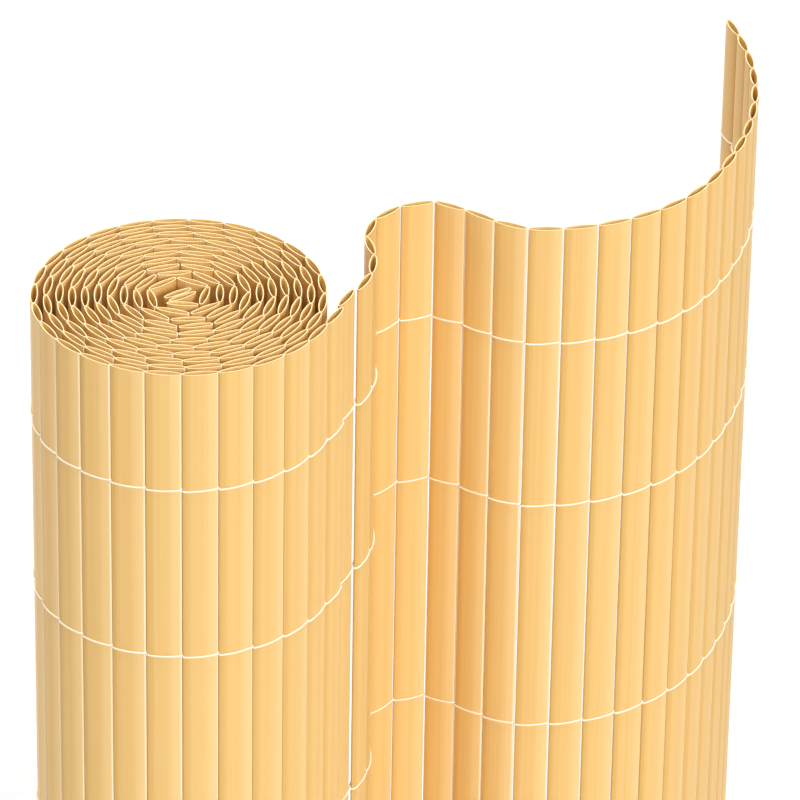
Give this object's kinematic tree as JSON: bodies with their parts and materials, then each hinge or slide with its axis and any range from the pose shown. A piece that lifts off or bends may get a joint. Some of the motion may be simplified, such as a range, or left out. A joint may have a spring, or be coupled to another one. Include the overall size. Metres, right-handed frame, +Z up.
{
  "type": "pvc privacy screen",
  "caption": "Privacy screen of upright hollow PVC slats bound side by side with rows of cord, part of it still rolled up, standing on end.",
  "frame": {"origin": "middle of the footprint's box, at the height of the slats' lower ends", "axes": "+Z up along the slats, +X from the roll towards the free edge as seen from the front, +Y away from the viewer"},
  "size_m": [0.3318, 0.3308, 0.9],
  "materials": {
    "slat_pvc": "satin, lightly streaked along the slat",
    "cord": "twisted synthetic yarn"
  },
  "bodies": {
    "root": {"binding_cord_1": "cord", "binding_cord_2": "cord", "binding_cord_3": "cord", "binding_cord_4": "cord", "binding_cord_5": "cord", "binding_cord_6": "cord", "binding_cord_7": "cord", "free_slat_01": "slat_pvc", "free_slat_02": "slat_pvc", "free_slat_03": "slat_pvc", "free_slat_04": "slat_pvc", "free_slat_05": "slat_pvc", "free_slat_06": "slat_pvc", "free_slat_07": "slat_pvc", "free_slat_08": "slat_pvc", "free_slat_09": "slat_pvc", "free_slat_10": "slat_pvc", "free_slat_11": "slat_pvc", "free_slat_12": "slat_pvc", "free_slat_13": "slat_pvc", "free_slat_14": "slat_pvc", "free_slat_15": "slat_pvc", "free_slat_16": "slat_pvc", "free_slat_17": "slat_pvc", "free_slat_18": "slat_pvc", "free_slat_19": "slat_pvc", "free_slat_20": "slat_pvc", "free_slat_21": "slat_pvc", "free_slat_22": "slat_pvc", "free_slat_23": "slat_pvc", "free_slat_24": "slat_pvc", "free_slat_25": "slat_pvc", "free_slat_26": "slat_pvc", "free_slat_27": "slat_pvc", "roll_turn_01": "slat_pvc", "roll_turn_02": "slat_pvc", "roll_turn_03": "slat_pvc", "roll_turn_04": "slat_pvc", "roll_turn_05": "slat_pvc", "roll_turn_06": "slat_pvc", "roll_turn_07": "slat_pvc", "roll_turn_08": "slat_pvc", "roll_turn_09": "slat_pvc", "roll_turn_10": "slat_pvc", "roll_turn_11": "slat_pvc"}
  },
  "joints": []
}
